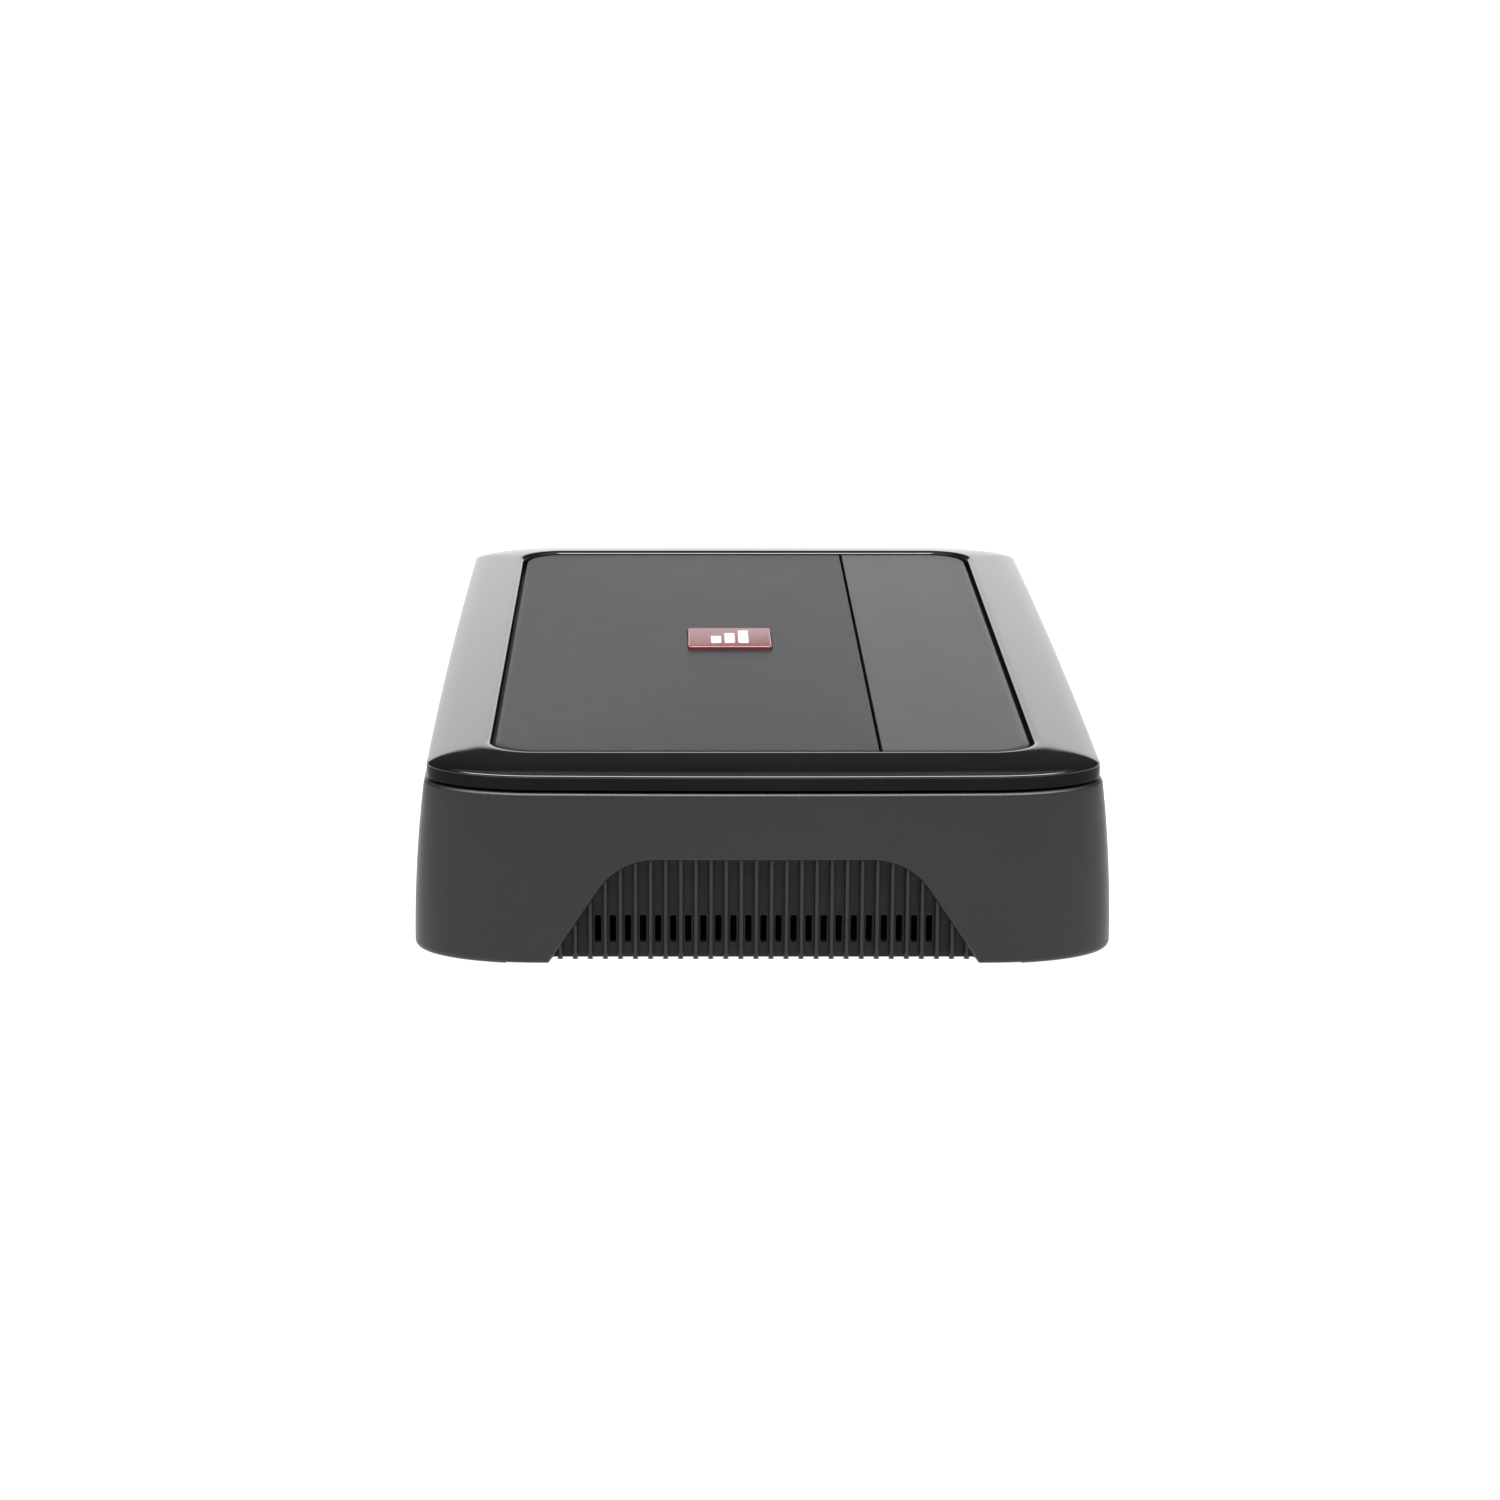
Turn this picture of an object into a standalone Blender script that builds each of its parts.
"""Car audio power amplifier: a ribbed cast housing with a glossy trim frame and two lift-off top plates.

Under the narrower plate lies a tray with screw terminals, fuses, rotary controls and slide switches.
Sizes and places are in millimetres and are scaled to metres when a mesh is made. X runs across the
amplifier, with the connections on the +X side, Y runs along it and Z is up. The origin is at the
centre of the surface that the four cast feet stand on.
"""

import math

import bmesh
import bpy
from mathutils import Matrix, Vector

METRES = 0.001

# ---------------------------------------------------------------- driving dimensions

GAP = 0.3  # clearance between pieces that touch
BEYOND = 1.0  # how far a cutter runs past a surface, or a joined piece into its neighbour
FAR = 300.0  # well outside the amplifier

# Outline of the housing at its rim and of the trim frame above it
RIM_HALF = (102.6, 163.2)
LID_HALF = (101.8, 163.0)
CORNER = (33.0, 16.0)  # each corner is a quarter ellipse
BOW = (1.0, 1.9)  # how far the long sides and the short ends bulge
CORNER_STEPS = 6
SIDE_STEPS = 2
END_STEPS = 3

# Housing
RIM_Z = 52.5
RIM_WALL = 2.4
DECK_Z = (47.0, 50.0)
FLARE = 3.4  # how much further out the housing stands at its foot than at its rim
WALL = 3.0
FOOT_ROUND = 2.4
WALL_LEVELS = (14.0, 26.0, 38.0, 47.0)  # heights at which the curved side is given
RIM_BEVEL = (0.5, 0.6)
FOOT_HEIGHT = 0.7
FOOT_INNER = (77.0, 131.0)  # the four feet lie beyond these distances from the centre

# Trim frame: its section is given as a share of the way in from the outer rim, and a height
RECESS_HALF = (82.4, 143.8)
RECESS_CORNER = 14.0
LIP_Z = 56.7
FRAME_SECTION = [
    (0.010, 53.2),
    (0.000, 53.8),
    (0.000, 57.2),
    (0.015, 57.7),
    (0.080, 58.3),
    (0.220, 59.1),
    (0.450, 59.8),
    (0.720, 60.3),
    (0.920, 60.5),
    (0.985, 60.3),
    (1.000, 59.8),
    (1.000, LIP_Z),
    (1.200, LIP_Z),
    (1.200, 54.9),
    (0.500, 54.9),
    (0.500, DECK_Z[1] + GAP),
    (0.320, DECK_Z[1] + GAP),
    (0.320, 53.2),
]

# Top plates
PLATE_Z = (LIP_Z + GAP, 59.8)
PLATE_INSET = 1.4
PLATE_EDGE = (2.5, 0.7)  # how far in from its edge a plate slopes, and by how much
SEAM_X = 35.5
SEAM_HALF = 0.5
PEG_RADIUS = 2.0
PEG_BOTTOM_Z = 48.4
MAIN_PEGS = [(x, y) for x in (-55.0, 15.0) for y in (-128.0, 128.0)]
COVER_PEGS = [(x, y) for x in (43.0, 57.0) for y in (-130.0, 130.0)]
BADGE_CENTRE = (-7.9, 3.3)
BADGE_HALF = (14.0, 13.4)
BADGE_Z = (59.2, 60.9)
BADGE_CHAMFER = 0.6

# Ribbed vents in both short ends and in the -X side
ARCH_TOP_Z = 32.4
ARCH_SLOPE = math.radians(56)
ARCH_RADIUS = 20.0
ARCH_STEPS = 5
END_ARCH_HALF = 64.5
SIDE_ARCH_HALF = 118.0
RIB_PITCH = 4.5
RIB_HALF = 0.7
RIB_BOTTOM_Z = 0.9
PANEL_BOTTOM_Z = 1.6
PANEL_THICK = 2.4
PAD_MARGIN = 5.0
INTO_DECK_Z = DECK_Z[0] + BEYOND
THROUGH_DECK_Z = (DECK_Z[0] - BEYOND, DECK_Z[1] + BEYOND)
END_PANEL_Y = 160.0
END_RIB_Y = 163.8
END_RIBS = 28
SIDE_PANEL_X = 99.7
SIDE_RIB_X = 103.2
SIDE_RIBS = 26
SIDE_RIB_PITCH = 9.0
SIDE_RIB_HALF = 1.2
SLOT_COUNT = 23
SLOT_HALF = 0.95
SLOT_Z = (5.6, 14.0)

# Cable arches in the +X side
CABLE_ARCH_YS = [-57.0, 57.0]
CABLE_ARCH_HALF = 52.0
CABLE_ARCH_X = 94.0  # the arches are cut from here outwards

# Mounting columns, board posts and the bosses for the bottom cover's screws
MOUNTS = [(x, y) for x in (-72.0, 72.0) for y in (-131.0, 131.0)]
COLUMN_RADIUS = 8.0
COLUMN_BORE = 5.5
COLUMN_HOLE = 1.95
COLUMN_SEAT_Z = 6.0
POSTS = [(x, y) for x in (-66.0, 25.0) for y in (-112.0, 112.0)]
POST_RADIUS = 3.5
BOSSES = [(x, y) for x in (-92.5, 92.5) for y in (-118.0, 118.0)]
BOSS_RADIUS = 4.5
BOTTOM_Z = (2.6, 3.8)
BOTTOM_HALF = (96.6, 156.6)
BOTTOM_CORNER = (26.0, 15.0)
SCREW_RADIUS = 1.5
BOARD_SCREW_RADIUS = 1.3
BOARD_SCREW_TOP_Z = 20.0
POST_BORE_TOP_Z = 22.0
COVER_SCREW_TOP_Z = 12.0
BOSS_BORE_TOP_Z = 14.0
COVER_SCREW_HEAD = {"radius": 3.2, "seat": 2.3, "edge": 1.6, "face": 1.0}
BOARD_SCREW_HEAD = {"radius": 2.8, "edge": 0.9, "face": 1.6}  # edge and face are depths below the seat
HEAD_CHAMFER = 0.7

# Circuit board
BOARD_X = (-86.0, 84.0)
BOARD_HALF_Y = 121.5
BOARD_Z = (10.4, 12.0)
ON_BOARD_Z = BOARD_Z[1] + GAP

# Connection tray
TRAY_X = (41.0, 79.6)
TRAY_HALF_Y = 120.6
TRAY_FLOOR_Z = (41.0, 43.0)
TRAY_WALL = 1.5
TRAY_FLANGE = 2.0
TRAY_FLANGE_Z = (DECK_Z[1] + GAP, DECK_Z[1] + 1.5)
THROUGH_TRAY_Z = (TRAY_FLOOR_Z[0] - 2 * BEYOND, TRAY_FLOOR_Z[1] + 3 * BEYOND)
TRAY_POSTS = [(74.5, 39.0), (74.5, 89.0)]
TRAY_POST_RADIUS = 2.2
WINDOW_MARGIN = 0.6  # clearance round what comes up through the floor

# Screw terminals: every way has the same clamp and screw
TERMINAL_X = (55.0, 77.0)
TERMINAL_Z = (ON_BOARD_Z, 45.0)
WAY_PITCH = 14.0
SPEAKER_WAYS = [-100.0 + WAY_PITCH * i for i in range(2)]
POWER_WAYS = [-59.0 + WAY_PITCH * i for i in range(3)]
CLAMP_X = (58.5, 76.5)
CLAMP_HALF_Y = 5.5
CLAMP_Z = (14.5, 33.0)
WIRE_Z = 21.5
WIRE_RADIUS = 4.2
WIRE_STOP_X = 61.0
TERMINAL_SCREW_X = 69.0
TERMINAL_SCREW_RADIUS = 2.9
TERMINAL_SCREW_Z = (23.0, 33.5)
ACCESS_RADIUS = 3.4
HEX_RADIUS = 1.8
HEX_DEPTH = 3.0

# Fuses
FUSE_X = 66.0
FUSE_YS = [-10.0, 0.0, 10.0]
FUSE_HALF = (9.5, 2.6)
FUSE_Z = (33.3, 45.5)
BLADE_HALF = (2.5, 0.4)
BLADE_OFFSET = 6.5
BLADE_BOTTOM_Z = 25.3
HOLDER_HALF = (12.0, 15.5)
HOLDER_TOP_Z = FUSE_Z[0] - GAP
FUSE_WAIST = {"half_x": 5.5, "y": (2.0, 4.0), "z": (36.0, 42.5)}  # the hollow in each flat side

# Rotary controls, slide switches and indicators, on a small board of their own
CONTROL_X = 64.0
KNOBS = {"level": 30.0, "crossover": 48.0, "bass": 66.0}
KNOB_RADIUS = 5.5
KNOB_Z = (43.5, 51.0)
KNOB_BORE_TOP_Z = 48.6
KNOB_CHAMFER = 0.7
KNOB_TAPER = 0.5
POINTER = {"half_x": 0.5, "depth": 0.6}
SHAFT_RADIUS = 3.0
POT_HALF = 5.0
POT_TOP_Z = 38.5
CONTROL_BOARD_X = (52.0, 78.0)
CONTROL_BOARD_Y = (21.0, 116.5)
CONTROL_BOARD_Z = (29.4, 31.0)
ON_CONTROL_Z = CONTROL_BOARD_Z[1] + GAP
SWITCHES = {"input": 82.0, "phase": 97.0}
SWITCH_TRAVEL = 3.0
SWITCH_HALF = (4.0, 6.5)
SWITCH_TOP_Z = 40.4
SLIDER_HALF = (1.8, 2.0)
SLIDER_Z = (36.8, 45.5)
LEDS = {"power": 57.5, "protect": 70.5}
LED_Y = 111.0
LED_RADIUS = 1.5
LED_TOP_Z = 44.2
LED_DOME = (0.9, 0.3, 1.0)  # the radius of its flatter middle, and how far it and the edge lie below the top

# Signal sockets
SOCKET_X = (71.0, 84.0)
SIGNAL_BLOCK_Y = (28.0, 66.0)
SIGNAL_BLOCK_TOP_Z = 28.5
JACKS = {"left": 38.0, "right": 56.0}
JACK_Z = 20.4
JACK = {"radius": 4.1, "flange": 5.4, "flange_thick": 1.2, "bore": 1.8, "depth": 4.5, "length": 9.0}
REMOTE_Y = 85.0
REMOTE_HALF_Y = 8.0
REMOTE_TOP_Z = 26.5
REMOTE_MOUTH = {"wall": 3.0, "half_y": 5.0, "z": (15.0, 23.0)}

# Power electronics
TRANSISTOR_YS = [-60.0, 0.0, 60.0]
TRANSISTOR_X = (-97.0, -92.0)
TRANSISTOR_HALF_Y = 8.0
TRANSISTOR_Z = (15.0, 36.0)
LEAD_PITCH = 5.4
LEAD_HALF = 0.7
LEAD_THICK = 0.9
LEAD_END_X = BOARD_X[0] + 4.0
CLAMP_BAR_X = (-91.7, -90.2)
CLAMP_BAR_Z = (21.0, 31.0)
CLAMP_BAR_HALF_Y = 72.0
CLAMP_SCREW_YS = [-30.0, 30.0]
CLAMP_SCREW_Z = 26.0
BAR_BOSS_RADIUS = 4.0
BAR_SCREW_TIP_X = -96.0
BAR_SCREW_HEAD = {"radius": 2.8, "height": 2.0, "chamfer": 0.8}
CAPACITOR_XY = [(-46.0, -80.0), (-22.0, -80.0), (2.0, -80.0)]
CAPACITOR_RADIUS = 10.0
CAPACITOR_TOP_Z = 42.0
CAPACITOR_ROUND = 1.0
CAPACITOR_NECK = {"inset": 0.6, "height": 0.4}
TRANSFORMER = {"centre": (-24.0, -12.0), "ring": 20.0, "thick": 9.5}
INDUCTOR = {"centre": (-24.0, 62.0), "ring": 13.0, "thick": 7.5}
RING_POINTS = 8

# ---------------------------------------------------------------- scene and materials


def clear_scene():
    for obj in list(bpy.data.objects):
        bpy.data.objects.remove(obj, do_unlink=True)


def new_collection(name):
    collection = bpy.data.collections.new(name)
    bpy.context.scene.collection.children.link(collection)
    return collection


clear_scene()
PARTS = new_collection("car_audio_amplifier")
CUTTERS = new_collection("cutters")
CUTTERS.hide_render = True


def make_material(name, colour, roughness, metallic=0.0):
    made = bpy.data.materials.new(name)
    made.use_nodes = True
    shader = made.node_tree.nodes["Principled BSDF"]
    shader.inputs["Base Color"].default_value = (*colour, 1.0)
    shader.inputs["Roughness"].default_value = roughness
    shader.inputs["Metallic"].default_value = metallic
    made.diffuse_color = (*colour, 1.0)
    return made


CAST = make_material("cast_body", (0.050, 0.050, 0.052), 0.45, 0.3)
GLOSS = make_material("gloss_trim", (0.010, 0.010, 0.011), 0.08)
PLATE = make_material("top_plate", (0.030, 0.029, 0.030), 0.30, 0.4)
RED = make_material("badge_red", (0.42, 0.03, 0.05), 0.12)
SHEET = make_material("sheet_steel", (0.040, 0.040, 0.042), 0.5, 0.5)
FASTENER = make_material("fastener", (0.30, 0.30, 0.31), 0.3, 1.0)
BLACK_PLASTIC = make_material("black_plastic", (0.016, 0.016, 0.017), 0.5)
PLATED = make_material("plated_clamp", (0.72, 0.66, 0.52), 0.25, 1.0)
GOLD = make_material("gold_plate", (0.83, 0.62, 0.24), 0.2, 1.0)
FUSE_PLASTIC = make_material("fuse_plastic", (0.10, 0.42, 0.16), 0.2)
BOARD = make_material("circuit_board", (0.02, 0.12, 0.05), 0.4)
SLEEVE = make_material("capacitor_sleeve", (0.02, 0.03, 0.09), 0.35)
WINDING = make_material("winding", (0.50, 0.20, 0.06), 0.35, 0.4)
SPRING_STEEL = make_material("spring_steel", (0.45, 0.45, 0.46), 0.3, 1.0)
CLEAR_PLASTIC = make_material("light_pipe", (0.75, 0.78, 0.80), 0.1)

# ---------------------------------------------------------------- modelling helpers


def link(obj, material):
    """Puts a piece in the parts, or in the cutters where it has no material."""
    if material is None:
        CUTTERS.objects.link(obj)
        obj.hide_render = True
        obj.display_type = "WIRE"
    else:
        PARTS.objects.link(obj)
        obj.data.materials.append(material)
    return obj


def place(name, bm, material=None, origin=(0.0, 0.0, 0.0)):
    """Makes an object, whose own origin is at the given place, from a bmesh in millimetres."""
    bmesh.ops.recalc_face_normals(bm, faces=bm.faces)
    bmesh.ops.translate(bm, verts=bm.verts, vec=-Vector(origin))
    bm.transform(Matrix.Scale(METRES, 4))
    mesh = bpy.data.meshes.new(name)
    bm.to_mesh(mesh)
    bm.free()
    mesh.shade_smooth()
    mesh.set_sharp_from_angle(angle=math.radians(30))
    obj = bpy.data.objects.new(name, mesh)
    obj.location = Vector(origin) * METRES
    return link(obj, material)


def add_box(bm, low, high):
    low, high = Vector(low), Vector(high)
    matrix = Matrix.Translation((low + high) / 2) @ Matrix.Diagonal((*(high - low), 1.0))
    bmesh.ops.create_cube(bm, size=1.0, matrix=matrix)


def boxes(name, corners, material=None, origin=(0.0, 0.0, 0.0)):
    bm = bmesh.new()
    for low, high in corners:
        add_box(bm, low, high)
    return place(name, bm, material, origin)


def upright_box(name, centre, half, heights, material=None, origin=(0.0, 0.0, 0.0)):
    low = (centre[0] - half[0], centre[1] - half[1], heights[0])
    high = (centre[0] + half[0], centre[1] + half[1], heights[1])
    return boxes(name, [(low, high)], material, origin)


def cylinders(name, centres, radius, heights, material=None, segments=20, origin=(0.0, 0.0, 0.0)):
    """Upright cylinders of one size, as separate shells of one mesh."""
    bm = bmesh.new()
    for x, y in centres:
        bmesh.ops.create_cone(
            bm,
            cap_ends=True,
            segments=segments,
            radius1=radius,
            radius2=radius,
            depth=heights[1] - heights[0],
            matrix=Matrix.Translation((x, y, sum(heights) / 2)),
        )
    return place(name, bm, material, origin)


def cylinders_along_x(name, centres, radius, reach, segments=16):
    """Cutters or studs that lie along X; each centre is a (y, z) pair."""
    bm = bmesh.new()
    for y, z in centres:
        at = Matrix.Translation((sum(reach) / 2, y, z))
        bmesh.ops.create_cone(
            bm,
            cap_ends=True,
            segments=segments,
            radius1=radius,
            radius2=radius,
            depth=reach[1] - reach[0],
            matrix=at @ Matrix.Rotation(math.radians(90), 4, "Y"),
        )
    return place(name, bm)


def loft(name, rings, material=None, around=False):
    """A skin through rings of points: capped at both ends, or closed on itself as a frame is."""
    bm = bmesh.new()
    loops = [[bm.verts.new(point) for point in ring] for ring in rings]
    pairs = list(zip(loops, loops[1:]))
    if around:
        pairs.append((loops[-1], loops[0]))
    else:
        bm.faces.new(loops[0])
        bm.faces.new(loops[-1])
    for first, second in pairs:
        for i in range(len(first)):
            j = (i + 1) % len(first)
            bm.faces.new((first[i], first[j], second[j], second[i]))
    return place(name, bm, material)


def extrusion(name, outlines, axis, reach):
    """Flat outlines extruded along one axis: (across, up) points along X or Y, (x, y) along Z."""
    start, end = reach
    point = {
        "X": lambda a, b, depth: (depth, a, b),
        "Y": lambda a, b, depth: (a, depth, b),
        "Z": lambda a, b, depth: (a, b, depth),
    }[axis]
    bm = bmesh.new()
    for outline_points in outlines:
        face = bm.faces.new([bm.verts.new(point(a, b, start)) for a, b in outline_points])
        made = bmesh.ops.extrude_face_region(bm, geom=[face])
        moved = [v for v in made["geom"] if isinstance(v, bmesh.types.BMVert)]
        shift = Vector(point(0.0, 0.0, end - start))
        bmesh.ops.translate(bm, verts=moved, vec=shift)
    return place(name, bm)


def turned(name, profile, centre, material, steps=16, along_x=False):
    """A turned shape: its (radius, height) profile runs down the outer side.

    It stands on the Z axis of the centre, or lies along X with its heights counted towards +X.
    """
    mesh = bpy.data.meshes.new(name)
    points = [(radius * METRES, 0.0, height * METRES) for radius, height in profile]
    edges = [(i, i + 1) for i in range(len(points) - 1)]
    if profile[0][0] > 0:
        edges.append((len(points) - 1, 0))
    mesh.from_pydata(points, edges, [])
    obj = bpy.data.objects.new(name, mesh)
    link(obj, material)
    obj.location = Vector(centre) * METRES
    if along_x:
        obj.rotation_euler = (0.0, math.radians(90), 0.0)
    screw = obj.modifiers.new("turn", "SCREW")
    screw.steps = steps
    screw.render_steps = steps
    screw.use_merge_vertices = True
    screw.merge_threshold = 0.00001
    screw.use_smooth_shade = True
    return obj


def combine(obj, other, operation):
    modifier = obj.modifiers.new(operation.lower(), "BOOLEAN")
    modifier.operation = operation
    modifier.solver = "EXACT"
    modifier.object = other


def cut(obj, *others):
    for other in others:
        combine(obj, other, "DIFFERENCE")


def join(obj, *others):
    for other in others:
        combine(obj, other, "UNION")


# ---------------------------------------------------------------- outlines


def outline(half, corner, bow=(0.0, 0.0)):
    """Points round a rectangle with elliptical corners and bulging sides, from the +X side's middle."""
    half_x, half_y = half
    straight_x = half_x - corner[0]
    straight_y = half_y - corner[1]
    quarter = [(half_x, straight_y * i / SIDE_STEPS) for i in range(SIDE_STEPS)]
    for i in range(CORNER_STEPS + 1):
        angle = math.radians(90) * i / CORNER_STEPS
        x = straight_x + corner[0] * math.cos(angle)
        y = straight_y + corner[1] * math.sin(angle)
        quarter.append((x, y))
    quarter += [(straight_x * (1 - i / END_STEPS), half_y) for i in range(1, END_STEPS)]
    upper = quarter + [(0.0, half_y)] + [(-x, y) for x, y in quarter[:0:-1]]
    points = upper + [(-x, -y) for x, y in upper]
    bulged = []
    for x, y in points:
        in_x = bow[0] * (y / half_y) ** 2 * (x / half_x)
        in_y = bow[1] * (x / half_x) ** 2 * (y / half_y)
        bulged.append((x - in_x, y - in_y))
    return bulged


def level(half, corner, bow, outset, height):
    """An outline moved outwards by a distance, at a height."""
    grown = (half[0] + outset, half[1] + outset)
    rounded = (corner[0] + outset, corner[1] + outset)
    return [(x, y, height) for x, y in outline(grown, rounded, bow)]


def between(start, end, share):
    return tuple(a + (b - a) * share for a, b in zip(start, end))


def arch(half, centre=0.0):
    """An arch that is open at the ground: sloping sides, round shoulders and a flat top."""
    below = 2.0
    shoulder = half - ARCH_TOP_Z / math.tan(ARCH_SLOPE) - ARCH_RADIUS * math.tan(ARCH_SLOPE / 2)
    right = [(half + below / math.tan(ARCH_SLOPE), -below)]
    for i in range(ARCH_STEPS + 1):
        angle = math.pi / 2 - ARCH_SLOPE * (1 - i / ARCH_STEPS)
        across = shoulder + ARCH_RADIUS * math.cos(angle)
        up = ARCH_TOP_Z - ARCH_RADIUS + ARCH_RADIUS * math.sin(angle)
        right.append((across, up))
    return [(centre + a, b) for a, b in right] + [(centre - a, b) for a, b in right[::-1]]


def arch_height(across, half):
    """How high the same arch stands at a distance from its middle."""
    corner = half - ARCH_TOP_Z / math.tan(ARCH_SLOPE)
    shoulder = corner - ARCH_RADIUS * math.tan(ARCH_SLOPE / 2)
    beyond = abs(across) - shoulder
    if beyond <= 0:
        return ARCH_TOP_Z
    if beyond < ARCH_RADIUS * math.sin(ARCH_SLOPE):
        return ARCH_TOP_Z - ARCH_RADIUS + math.sqrt(ARCH_RADIUS**2 - beyond**2)
    return (half - abs(across)) * math.tan(ARCH_SLOPE)


def rib_places(count, pitch=RIB_PITCH):
    return [(i - (count - 1) / 2) * pitch for i in range(count)]


# ---------------------------------------------------------------- housing


def side_outset(height):
    """How far the housing's side stands out beyond its rim: it leans in more and more towards the top."""
    return FLARE * (1 - (height / RIM_Z) ** 2)


def housing_rings():
    rings = []
    for i in range(4):
        angle = math.radians(30 * i)
        height = FOOT_ROUND * (1 - math.cos(angle))
        inset = FOOT_ROUND * (1 - math.sin(angle))
        rings.append(level(RIM_HALF, CORNER, BOW, side_outset(height) - inset, height))
    for height in (*WALL_LEVELS, RIM_Z - RIM_BEVEL[1]):
        rings.append(level(RIM_HALF, CORNER, BOW, side_outset(height), height))
    rings.append(level(RIM_HALF, CORNER, BOW, -RIM_BEVEL[0], RIM_Z))
    return rings


def vent_pads():
    """Thicker wall behind the three ribbed vents."""
    end_half = END_ARCH_HALF + PAD_MARGIN
    side_half = SIDE_ARCH_HALF + PAD_MARGIN
    low, high = PANEL_BOTTOM_Z, INTO_DECK_Z
    inner, outer = END_PANEL_Y - PANEL_THICK, END_PANEL_Y + BEYOND
    corners = [
        ((-end_half, inner, low), (end_half, outer, high)),
        ((-end_half, -outer, low), (end_half, -inner, high)),
        ((-SIDE_PANEL_X - BEYOND, -side_half, low), (PANEL_THICK - SIDE_PANEL_X, side_half, high)),
    ]
    return boxes("vent_pads", corners)


def vent_arches():
    """The recesses that hold the ribs: both ends, then the -X side."""
    end_arch = [arch(END_ARCH_HALF)]
    return [
        extrusion("arch_front", end_arch, "Y", (-FAR, -END_PANEL_Y)),
        extrusion("arch_back", end_arch, "Y", (END_PANEL_Y, FAR)),
        extrusion("arch_side", [arch(SIDE_ARCH_HALF)], "X", (-FAR, -SIDE_PANEL_X)),
    ]


def vent_ribs():
    """Ribs that stand on the recess floors and run up into the wall above each arch."""
    root, into_wall = 0.6, 0.8
    corners = []
    for x in rib_places(END_RIBS):
        top = arch_height(x, END_ARCH_HALF) + into_wall
        for near, far in ((END_PANEL_Y - root, END_RIB_Y), (-END_RIB_Y, root - END_PANEL_Y)):
            corners.append(((x - RIB_HALF, near, RIB_BOTTOM_Z), (x + RIB_HALF, far, top)))
    for y in rib_places(SIDE_RIBS, SIDE_RIB_PITCH):
        top = arch_height(y, SIDE_ARCH_HALF) + into_wall
        low = (-SIDE_RIB_X, y - SIDE_RIB_HALF, RIB_BOTTOM_Z)
        corners.append((low, (root - SIDE_PANEL_X, y + SIDE_RIB_HALF, top)))
    return boxes("vent_ribs", corners)


def vent_slots():
    inner, outer = END_PANEL_Y - PANEL_THICK - BEYOND, END_PANEL_Y + BEYOND
    corners = []
    for x in rib_places(SLOT_COUNT):
        for near, far in ((inner, outer), (-outer, -inner)):
            corners.append(((x - SLOT_HALF, near, SLOT_Z[0]), (x + SLOT_HALF, far, SLOT_Z[1])))
    return boxes("vent_slots", corners)


def foot_relief():
    """Lifts the bottom edge clear of the ground everywhere but at the four corners."""
    foot_x, foot_y = FOOT_INNER
    cross = [(foot_x, FAR), (foot_x, foot_y), (FAR, foot_y)]
    cross += [(FAR, -foot_y), (foot_x, -foot_y), (foot_x, -FAR)]
    cross += [(-x, y) for x, y in cross[::-1]]
    return extrusion("foot_relief", [cross], "Z", (-BEYOND, FOOT_HEIGHT))


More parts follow.
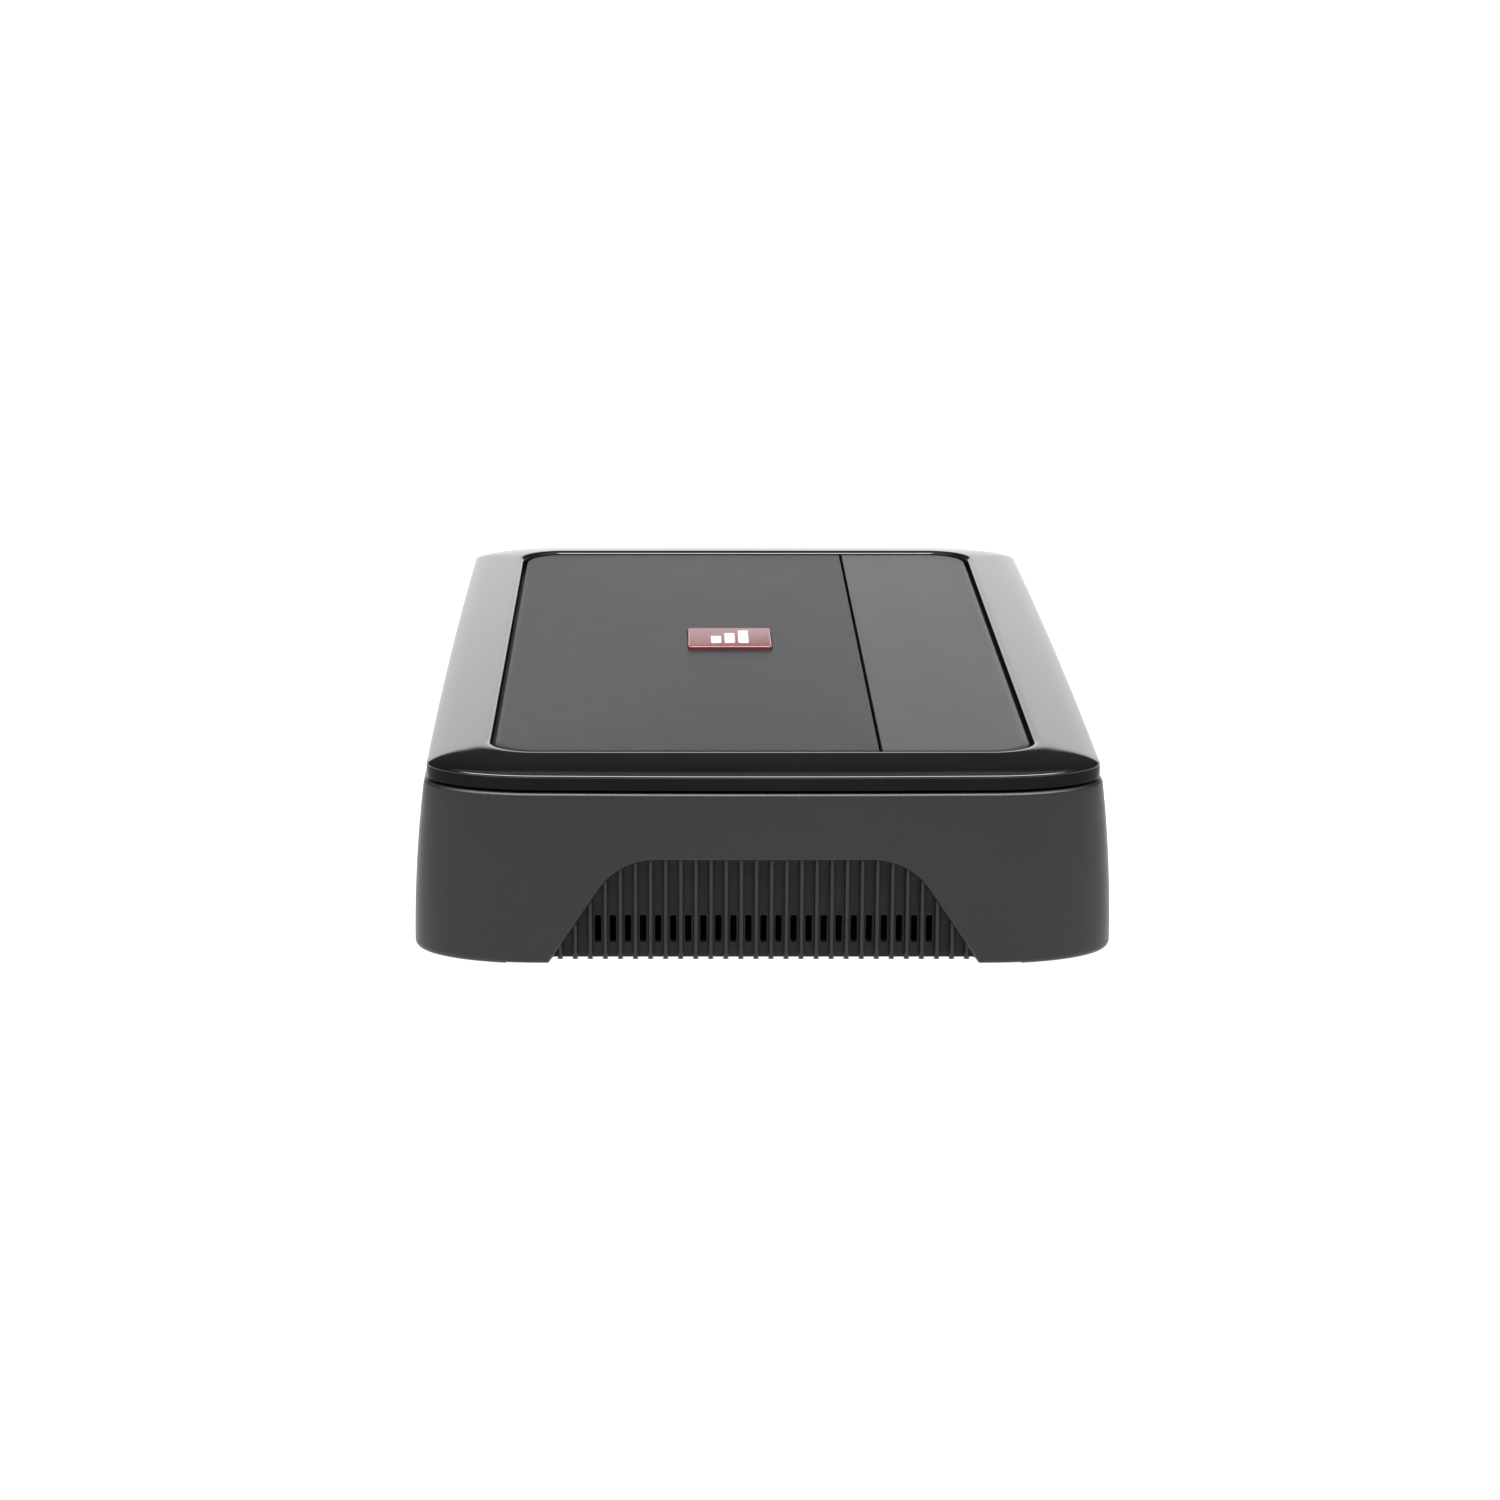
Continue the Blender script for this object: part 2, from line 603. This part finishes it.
def make_housing():
    cavity_half = (RIM_HALF[0] - WALL, RIM_HALF[1] - WALL)
    cavity_corner = (CORNER[0] - WALL, CORNER[1] - WALL)
    cavity = [level(cavity_half, cavity_corner, BOW, 0.0, z) for z in (-BEYOND, DECK_Z[0])]
    top_half = (RIM_HALF[0] - RIM_WALL, RIM_HALF[1] - RIM_WALL)
    top_corner = (CORNER[0] - RIM_WALL, CORNER[1] - RIM_WALL)
    top = [level(top_half, top_corner, BOW, 0.0, z) for z in (DECK_Z[1], RIM_Z + BEYOND)]
    housing = loft("heatsink_body", housing_rings(), CAST)
    cut(housing, loft("cavity", cavity), loft("deck_recess", top))
    join(housing, vent_pads())
    cut(housing, *vent_arches())
    join(housing, vent_ribs())
    cut(housing, vent_slots(), foot_relief())
    cable_arches = [arch(CABLE_ARCH_HALF, y) for y in CABLE_ARCH_YS]
    cut(housing, extrusion("cable_arches", cable_arches, "X", (CABLE_ARCH_X, FAR)))
    join(
        housing,
        cylinders("columns", MOUNTS, COLUMN_RADIUS, (PANEL_BOTTOM_Z, INTO_DECK_Z), segments=24),
        cylinders("posts", POSTS, POST_RADIUS, (ON_BOARD_Z, INTO_DECK_Z), segments=16),
        cylinders("bosses", BOSSES, BOSS_RADIUS, (BOTTOM_Z[1] + GAP, INTO_DECK_Z), segments=16),
        cylinders_along_x(
            "bar_bosses",
            [(y, CLAMP_SCREW_Z) for y in CLAMP_SCREW_YS],
            BAR_BOSS_RADIUS,
            (BEYOND - SIDE_PANEL_X, TRANSISTOR_X[1]),
        ),
    )
    peg_holes = MAIN_PEGS + COVER_PEGS
    cut(
        housing,
        cylinders("column_bores", MOUNTS, COLUMN_BORE, (COLUMN_SEAT_Z, THROUGH_DECK_Z[1])),
        cylinders("column_holes", MOUNTS, COLUMN_HOLE, (-BEYOND, COLUMN_SEAT_Z + BEYOND), segments=16),
        cylinders("post_bores", POSTS, BOARD_SCREW_RADIUS + GAP, (0.0, POST_BORE_TOP_Z), segments=12),
        cylinders("boss_bores", BOSSES, SCREW_RADIUS + GAP, (0.0, BOSS_BORE_TOP_Z), segments=12),
        cylinders("peg_holes", peg_holes, PEG_RADIUS + GAP, THROUGH_DECK_Z, segments=12),
        cylinders_along_x(
            "bar_bores",
            [(y, CLAMP_SCREW_Z) for y in CLAMP_SCREW_YS],
            BOARD_SCREW_RADIUS + GAP,
            (BAR_SCREW_TIP_X - GAP, TRANSISTOR_X[1] + BEYOND),
            12,
        ),
        tray_block("deck_opening", GAP, THROUGH_DECK_Z),
    )
    return housing


def tray_block(name, outset, heights, material=None):
    """A block with the tray's outline, moved outwards by a distance."""
    low = (TRAY_X[0] - outset, -TRAY_HALF_Y - outset, heights[0])
    high = (TRAY_X[1] + outset, TRAY_HALF_Y + outset, heights[1])
    return boxes(name, [(low, high)], material)


# ---------------------------------------------------------------- trim frame and top plates


def frame_ring(share, height, outset=0.0):
    """An outline a share of the way from the frame's outer rim in to the recess, at a height."""
    half = between(LID_HALF, RECESS_HALF, share)
    corner = between(CORNER, (RECESS_CORNER, RECESS_CORNER), share)
    bow = between(BOW, (0.0, 0.0), min(share, 1.0))
    return level(half, corner, bow, outset, height)


def make_trim_frame():
    rings = [frame_ring(share, height) for share, height in FRAME_SECTION]
    return loft("trim_frame", rings, GLOSS, around=True)


def make_plate(name, keep_from, keep_to, pegs):
    """A top plate: the recess outline with a chamfered edge, kept between two places along X."""
    bottom, top = PLATE_Z
    rings = [
        frame_ring(1.0, bottom, -PLATE_INSET),
        frame_ring(1.0, top - PLATE_EDGE[1], -PLATE_INSET),
        frame_ring(1.0, top, -PLATE_INSET - PLATE_EDGE[0]),
    ]
    plate = loft(name, rings, PLATE)
    removed = []
    if keep_from is not None:
        removed.append(((-FAR, -FAR, 0.0), (keep_from, FAR, FAR)))
    if keep_to is not None:
        removed.append(((keep_to, -FAR, 0.0), (FAR, FAR, FAR)))
    cut(plate, boxes(name + "_trim", removed))
    join(plate, cylinders(name + "_pegs", pegs, PEG_RADIUS, (PEG_BOTTOM_Z, bottom + BEYOND), segments=12))
    return plate


def make_plates():
    main = make_plate("main_top_plate", None, SEAM_X - SEAM_HALF, MAIN_PEGS)
    pocket_half = (BADGE_HALF[0] + GAP, BADGE_HALF[1] + GAP)
    cut(main, upright_box("badge_pocket", BADGE_CENTRE, pocket_half, (BADGE_Z[0] - GAP, FAR)))
    make_plate("connection_cover", SEAM_X + SEAM_HALF, None, COVER_PEGS)


def make_badge():
    rings = []
    bottom, top = BADGE_Z
    for height, inset in ((bottom, 0.0), (top - BADGE_CHAMFER, 0.0), (top, BADGE_CHAMFER)):
        half_x, half_y = BADGE_HALF[0] - inset, BADGE_HALF[1] - inset
        corners = [(half_x, half_y), (-half_x, half_y), (-half_x, -half_y), (half_x, -half_y)]
        rings.append([(BADGE_CENTRE[0] + x, BADGE_CENTRE[1] + y, height) for x, y in corners])
    return loft("badge_plate", rings, RED)


# ---------------------------------------------------------------- bottom cover and circuit board


def make_bottom_cover():
    rings = [level(BOTTOM_HALF, BOTTOM_CORNER, BOW, 0.0, z) for z in BOTTOM_Z]
    cover = loft("bottom_cover", rings, SHEET)
    through = (BOTTOM_Z[0] - BEYOND, BOTTOM_Z[1] + BEYOND)
    cut(
        cover,
        cylinders("cover_column_holes", MOUNTS, COLUMN_RADIUS + 2 * GAP, through, segments=24),
        cylinders("cover_screw_holes", BOSSES, SCREW_RADIUS + GAP, through, segments=12),
    )
    radius, seat, edge, face = COVER_SCREW_HEAD.values()
    profile = [(0.0, COVER_SCREW_TOP_Z), (SCREW_RADIUS, COVER_SCREW_TOP_Z), (SCREW_RADIUS, seat)]
    profile += [(radius, seat), (radius, edge), (radius - HEAD_CHAMFER, face), (0.0, face)]
    for i, (x, y) in enumerate(BOSSES, 1):
        turned(f"bottom_cover_screw_{i}", profile, (x, y, 0.0), FASTENER, steps=12)


def make_circuit_board():
    low = (BOARD_X[0], -BOARD_HALF_Y, BOARD_Z[0])
    high = (BOARD_X[1], BOARD_HALF_Y, BOARD_Z[1])
    board = boxes("circuit_board", [(low, high)], BOARD)
    through = (BOARD_Z[0] - BEYOND, BOARD_Z[1] + BEYOND)
    cut(board, cylinders("board_holes", POSTS, BOARD_SCREW_RADIUS + GAP, through, segments=12))
    radius, edge, face = BOARD_SCREW_HEAD.values()
    top, seat = BOARD_SCREW_TOP_Z, BOARD_Z[0] - GAP
    profile = [(0.0, top), (BOARD_SCREW_RADIUS, top), (BOARD_SCREW_RADIUS, seat), (radius, seat)]
    profile += [(radius, seat - edge), (radius - HEAD_CHAMFER, seat - face), (0.0, seat - face)]
    for i, (x, y) in enumerate(POSTS, 1):
        turned(f"board_screw_{i}", profile, (x, y, 0.0), FASTENER, steps=12)


# ---------------------------------------------------------------- connection tray


def block_window(name, ways):
    """An opening in the tray's floor round a terminal block."""
    low = (TERMINAL_X[0] - GAP, ways[0] - WAY_PITCH / 2 - GAP, THROUGH_TRAY_Z[0])
    high = (TERMINAL_X[1] + GAP, ways[-1] + WAY_PITCH / 2 + GAP, THROUGH_TRAY_Z[1])
    return boxes(name, [(low, high)])


def make_tray():
    floor, flange = TRAY_FLOOR_Z, TRAY_FLANGE_Z
    tray = tray_block("connection_tray", 0.0, (floor[0], sum(flange) / 2), BLACK_PLASTIC)
    join(tray, tray_block("tray_flange", TRAY_FLANGE, flange))
    cut(tray, tray_block("tray_inside", -TRAY_WALL, (floor[1], flange[1] + BEYOND)))
    post_z = (ON_CONTROL_Z, sum(floor) / 2)
    join(tray, cylinders("tray_posts", TRAY_POSTS, TRAY_POST_RADIUS, post_z, segments=12))
    through = THROUGH_TRAY_Z
    shafts = [(CONTROL_X, y) for y in KNOBS.values()]
    lights = [(x, LED_Y) for x in LEDS.values()]
    window_half_y = SWITCH_TRAVEL / 2 + SLIDER_HALF[1] + WINDOW_MARGIN
    switch_half = (SLIDER_HALF[0] + WINDOW_MARGIN, window_half_y)
    fuse_half = (HOLDER_HALF[0] + WINDOW_MARGIN, HOLDER_HALF[1] + WINDOW_MARGIN)
    cut(
        tray,
        block_window("speaker_window", SPEAKER_WAYS),
        block_window("power_window", POWER_WAYS),
        upright_box("fuse_window", (FUSE_X, 0.0), fuse_half, through),
        cylinders("shaft_holes", shafts, SHAFT_RADIUS + WINDOW_MARGIN, through, segments=16),
        cylinders("light_holes", lights, LED_RADIUS + GAP, through, segments=12),
    )
    for label, y in SWITCHES.items():
        cut(tray, upright_box(f"{label}_switch_window", (CONTROL_X, y), switch_half, through))


# ---------------------------------------------------------------- terminals and fuses


def make_terminal_block(name, ways):
    low = (TERMINAL_X[0], ways[0] - WAY_PITCH / 2, TERMINAL_Z[0])
    high = (TERMINAL_X[1], ways[-1] + WAY_PITCH / 2, TERMINAL_Z[1])
    block = boxes(name, [(low, high)], BLACK_PLASTIC)
    pockets = []
    for y in ways:
        near = (CLAMP_X[0] - GAP, y - CLAMP_HALF_Y - GAP, CLAMP_Z[0] - GAP)
        far = (TERMINAL_X[1] + BEYOND, y + CLAMP_HALF_Y + GAP, CLAMP_Z[1] + GAP)
        pockets.append((near, far))
    access = [(TERMINAL_SCREW_X, y) for y in ways]
    cut(
        block,
        boxes(name + "_pockets", pockets),
        cylinders(name + "_access", access, ACCESS_RADIUS, (CLAMP_Z[1], THROUGH_TRAY_Z[1]), segments=16),
    )


def make_clamp(number, y):
    """One way of a terminal: a metal block with a wire hole towards +X and a clamping screw above it."""
    centre = ((CLAMP_X[0] + CLAMP_X[1]) / 2, y)
    half = ((CLAMP_X[1] - CLAMP_X[0]) / 2, CLAMP_HALF_Y)
    clamp = upright_box(f"terminal_clamp_{number}", centre, half, CLAMP_Z, PLATED)
    at = [(TERMINAL_SCREW_X, y)]
    hole_z = (WIRE_Z, CLAMP_Z[1] + BEYOND)
    cut(
        clamp,
        cylinders_along_x(f"wire_hole_{number}", [(y, WIRE_Z)], WIRE_RADIUS, (WIRE_STOP_X, FAR)),
        cylinders(f"screw_hole_{number}", at, TERMINAL_SCREW_RADIUS + GAP, hole_z, segments=16),
    )
    origin = (TERMINAL_SCREW_X, y, TERMINAL_SCREW_Z[0])
    name = f"terminal_screw_{number}"
    screw = cylinders(name, at, TERMINAL_SCREW_RADIUS, TERMINAL_SCREW_Z, FASTENER, 16, origin)
    socket_z = (TERMINAL_SCREW_Z[1] - HEX_DEPTH, TERMINAL_SCREW_Z[1] + BEYOND)
    cut(screw, cylinders(f"hex_socket_{number}", at, HEX_RADIUS, socket_z, segments=6))


def make_terminals():
    make_terminal_block("speaker_terminal_block", SPEAKER_WAYS)
    make_terminal_block("power_terminal_block", POWER_WAYS)
    for number, y in enumerate(SPEAKER_WAYS + POWER_WAYS, 1):
        make_clamp(number, y)


def make_fuses():
    centre = (FUSE_X, 0.0)
    holder = upright_box("fuse_holder", centre, HOLDER_HALF, (ON_BOARD_Z, HOLDER_TOP_Z), BLACK_PLASTIC)
    slot_half = (BLADE_HALF[0] + GAP, BLADE_HALF[1] + GAP)
    slot_z = (BLADE_BOTTOM_Z - GAP, HOLDER_TOP_Z + BEYOND)
    for number, y in enumerate(FUSE_YS, 1):
        blades = [(FUSE_X + side * BLADE_OFFSET, y) for side in (-1, 1)]
        for side, at in enumerate(blades):
            cut(holder, upright_box(f"blade_slot_{number}_{side}", at, slot_half, slot_z))
        origin = (FUSE_X, y, FUSE_Z[0])
        fuse = upright_box(f"fuse_{number}", (FUSE_X, y), FUSE_HALF, FUSE_Z, FUSE_PLASTIC, origin)
        for side, at in enumerate(blades):
            blade_z = (BLADE_BOTTOM_Z, FUSE_Z[0] + BEYOND)
            join(fuse, upright_box(f"blade_{number}_{side}", at, BLADE_HALF, blade_z))
        half_x, (near, far), (low, high) = FUSE_WAIST.values()
        waist = [
            ((FUSE_X - half_x, y - far, low), (FUSE_X + half_x, y - near, high)),
            ((FUSE_X - half_x, y + near, low), (FUSE_X + half_x, y + far, high)),
        ]
        cut(fuse, boxes(f"fuse_waist_{number}", waist))


# ---------------------------------------------------------------- controls


def make_control_board():
    low = (CONTROL_BOARD_X[0], CONTROL_BOARD_Y[0], CONTROL_BOARD_Z[0])
    high = (CONTROL_BOARD_X[1], CONTROL_BOARD_Y[1], CONTROL_BOARD_Z[1])
    boxes("control_board", [(low, high)], BOARD)


def make_knob(label, y):
    at = (CONTROL_X, y)
    pot = upright_box(f"{label}_pot", at, (POT_HALF, POT_HALF), (ON_CONTROL_Z, POT_TOP_Z), FASTENER)
    join(pot, cylinders(f"{label}_shaft", [at], SHAFT_RADIUS, (POT_TOP_Z - BEYOND, KNOB_BORE_TOP_Z - GAP)))
    bottom, top = KNOB_Z
    bore = SHAFT_RADIUS + GAP
    rim = KNOB_RADIUS - KNOB_TAPER
    profile = [(0.0, top), (rim - KNOB_CHAMFER, top), (rim, top - KNOB_CHAMFER)]
    profile += [(KNOB_RADIUS, bottom), (bore, bottom), (bore, KNOB_BORE_TOP_Z), (0.0, KNOB_BORE_TOP_Z)]
    knob = turned(f"{label}_knob", profile, (CONTROL_X, y, 0.0), BLACK_PLASTIC, steps=24)
    half_x, depth = POINTER.values()
    low = (CONTROL_X - half_x, y + BEYOND, top - depth)
    high = (CONTROL_X + half_x, y + KNOB_RADIUS + BEYOND, top + BEYOND)
    cut(knob, boxes(f"{label}_pointer", [(low, high)]))


def make_switch(label, y):
    at = (CONTROL_X, y)
    body = upright_box(f"{label}_switch", at, SWITCH_HALF, (ON_CONTROL_Z, SWITCH_TOP_Z), BLACK_PLASTIC)
    track_half = (SLIDER_HALF[0] + GAP, SLIDER_HALF[1] + SWITCH_TRAVEL / 2 + GAP)
    cut(body, upright_box(f"{label}_track", at, track_half, (SLIDER_Z[0] - GAP, SWITCH_TOP_Z + BEYOND)))
    start = (CONTROL_X, y - SWITCH_TRAVEL / 2)
    origin = (*start, SLIDER_Z[0])
    upright_box(f"{label}_slider", start, SLIDER_HALF, SLIDER_Z, CLEAR_PLASTIC, origin)


def make_controls():
    make_control_board()
    for label, y in KNOBS.items():
        make_knob(label, y)
    for label, y in SWITCHES.items():
        make_switch(label, y)
    dome_radius, dome_drop, dome_height = LED_DOME
    profile = [(0.0, LED_TOP_Z), (dome_radius, LED_TOP_Z - dome_drop)]
    profile.append((LED_RADIUS, LED_TOP_Z - dome_height))
    profile += [(LED_RADIUS, ON_CONTROL_Z), (0.0, ON_CONTROL_Z)]
    for label, x in LEDS.items():
        turned(f"{label}_light_pipe", profile, (x, LED_Y, 0.0), CLEAR_PLASTIC, steps=12)


# ---------------------------------------------------------------- signal sockets


def make_sockets():
    low = (SOCKET_X[0], SIGNAL_BLOCK_Y[0], ON_BOARD_Z)
    high = (SOCKET_X[1], SIGNAL_BLOCK_Y[1], SIGNAL_BLOCK_TOP_Z)
    boxes("signal_socket_block", [(low, high)], BLACK_PLASTIC)
    radius, flange, thick, bore, depth, length = JACK.values()
    root, tip = SOCKET_X[1] + GAP, SOCKET_X[1] + length
    profile = [(0.0, tip - depth), (bore, tip - depth), (bore, tip), (radius, tip)]
    profile += [(radius, root + thick), (flange, root + thick), (flange, root), (0.0, root)]
    for label, y in JACKS.items():
        turned(f"{label}_signal_socket", profile, (0.0, y, JACK_Z), GOLD, along_x=True)
    low = (SOCKET_X[0], REMOTE_Y - REMOTE_HALF_Y, ON_BOARD_Z)
    high = (SOCKET_X[1], REMOTE_Y + REMOTE_HALF_Y, REMOTE_TOP_Z)
    remote = boxes("remote_control_socket", [(low, high)], BLACK_PLASTIC)
    wall, half_y, (bottom, top) = REMOTE_MOUTH.values()
    low = (SOCKET_X[0] + wall, REMOTE_Y - half_y, bottom)
    high = (SOCKET_X[1] + BEYOND, REMOTE_Y + half_y, top)
    cut(remote, boxes("remote_mouth", [(low, high)]))


# ---------------------------------------------------------------- power electronics


def make_transistor(number, y):
    """A flat power transistor standing against the cast wall, with its leads bent down to the board."""
    half_x = (TRANSISTOR_X[1] - TRANSISTOR_X[0]) / 2
    centre = (TRANSISTOR_X[0] + half_x, y)
    name = f"power_transistor_{number}"
    body = upright_box(name, centre, (half_x, TRANSISTOR_HALF_Y), TRANSISTOR_Z, BLACK_PLASTIC)
    thick, half = LEAD_THICK, LEAD_HALF
    for lead, offset in enumerate((-LEAD_PITCH, 0.0, LEAD_PITCH)):
        drop_x = centre[0] + thick
        outline_points = [
            (drop_x - thick, TRANSISTOR_Z[0] + BEYOND),
            (drop_x - thick, ON_BOARD_Z),
            (LEAD_END_X, ON_BOARD_Z),
            (LEAD_END_X, ON_BOARD_Z + thick),
            (drop_x, ON_BOARD_Z + thick),
            (drop_x, TRANSISTOR_Z[0] + BEYOND),
        ]
        reach = (y + offset - half, y + offset + half)
        join(body, extrusion(f"lead_{number}_{lead}", [outline_points], "Y", reach))


def make_power_electronics():
    for number, y in enumerate(TRANSISTOR_YS, 1):
        make_transistor(number, y)
    low = (CLAMP_BAR_X[0], -CLAMP_BAR_HALF_Y, CLAMP_BAR_Z[0])
    high = (CLAMP_BAR_X[1], CLAMP_BAR_HALF_Y, CLAMP_BAR_Z[1])
    bar = boxes("transistor_clamp_bar", [(low, high)], SPRING_STEEL)
    centres = [(y, CLAMP_SCREW_Z) for y in CLAMP_SCREW_YS]
    reach = (CLAMP_BAR_X[0] - BEYOND, CLAMP_BAR_X[1] + BEYOND)
    cut(bar, cylinders_along_x("bar_holes", centres, BOARD_SCREW_RADIUS + GAP, reach, 12))
    seat = CLAMP_BAR_X[1] + GAP
    radius, height, chamfer = BAR_SCREW_HEAD.values()
    profile = [(0.0, seat + height), (radius - chamfer, seat + height)]
    profile += [(radius, seat + height - chamfer), (radius, seat)]
    profile += [(BOARD_SCREW_RADIUS, seat), (BOARD_SCREW_RADIUS, BAR_SCREW_TIP_X), (0.0, BAR_SCREW_TIP_X)]
    for number, (y, z) in enumerate(centres, 1):
        turned(f"clamp_bar_screw_{number}", profile, (0.0, y, z), FASTENER, 12, along_x=True)
    top, radius = CAPACITOR_TOP_Z, CAPACITOR_RADIUS
    inset, neck = CAPACITOR_NECK.values()
    profile = [(0.0, top), (radius - CAPACITOR_ROUND, top), (radius, top - CAPACITOR_ROUND)]
    profile += [(radius, ON_BOARD_Z + inset + neck), (radius - inset, ON_BOARD_Z + neck)]
    profile += [(radius - inset, ON_BOARD_Z), (0.0, ON_BOARD_Z)]
    for number, at in enumerate(CAPACITOR_XY, 1):
        turned(f"capacitor_{number}", profile, (*at, 0.0), SLEEVE, steps=20)
    make_ring("power_transformer", TRANSFORMER, 24)
    make_ring("output_inductor", INDUCTOR, 20)


def make_ring(name, size, steps):
    """A wound ring core lying on the board."""
    profile = []
    for i in range(RING_POINTS):
        angle = math.radians(90) - 2 * math.pi * (i + 0.5) / RING_POINTS
        radius = size["ring"] + size["thick"] * math.cos(angle)
        profile.append((radius, ON_BOARD_Z + size["thick"] * (1 + math.sin(angle))))
    turned(name, profile, (*size["centre"], 0.0), WINDING, steps=steps)


make_housing()
make_trim_frame()
make_plates()
make_badge()
make_bottom_cover()
make_circuit_board()
make_tray()
make_terminals()
make_fuses()
make_controls()
make_sockets()
make_power_electronics()
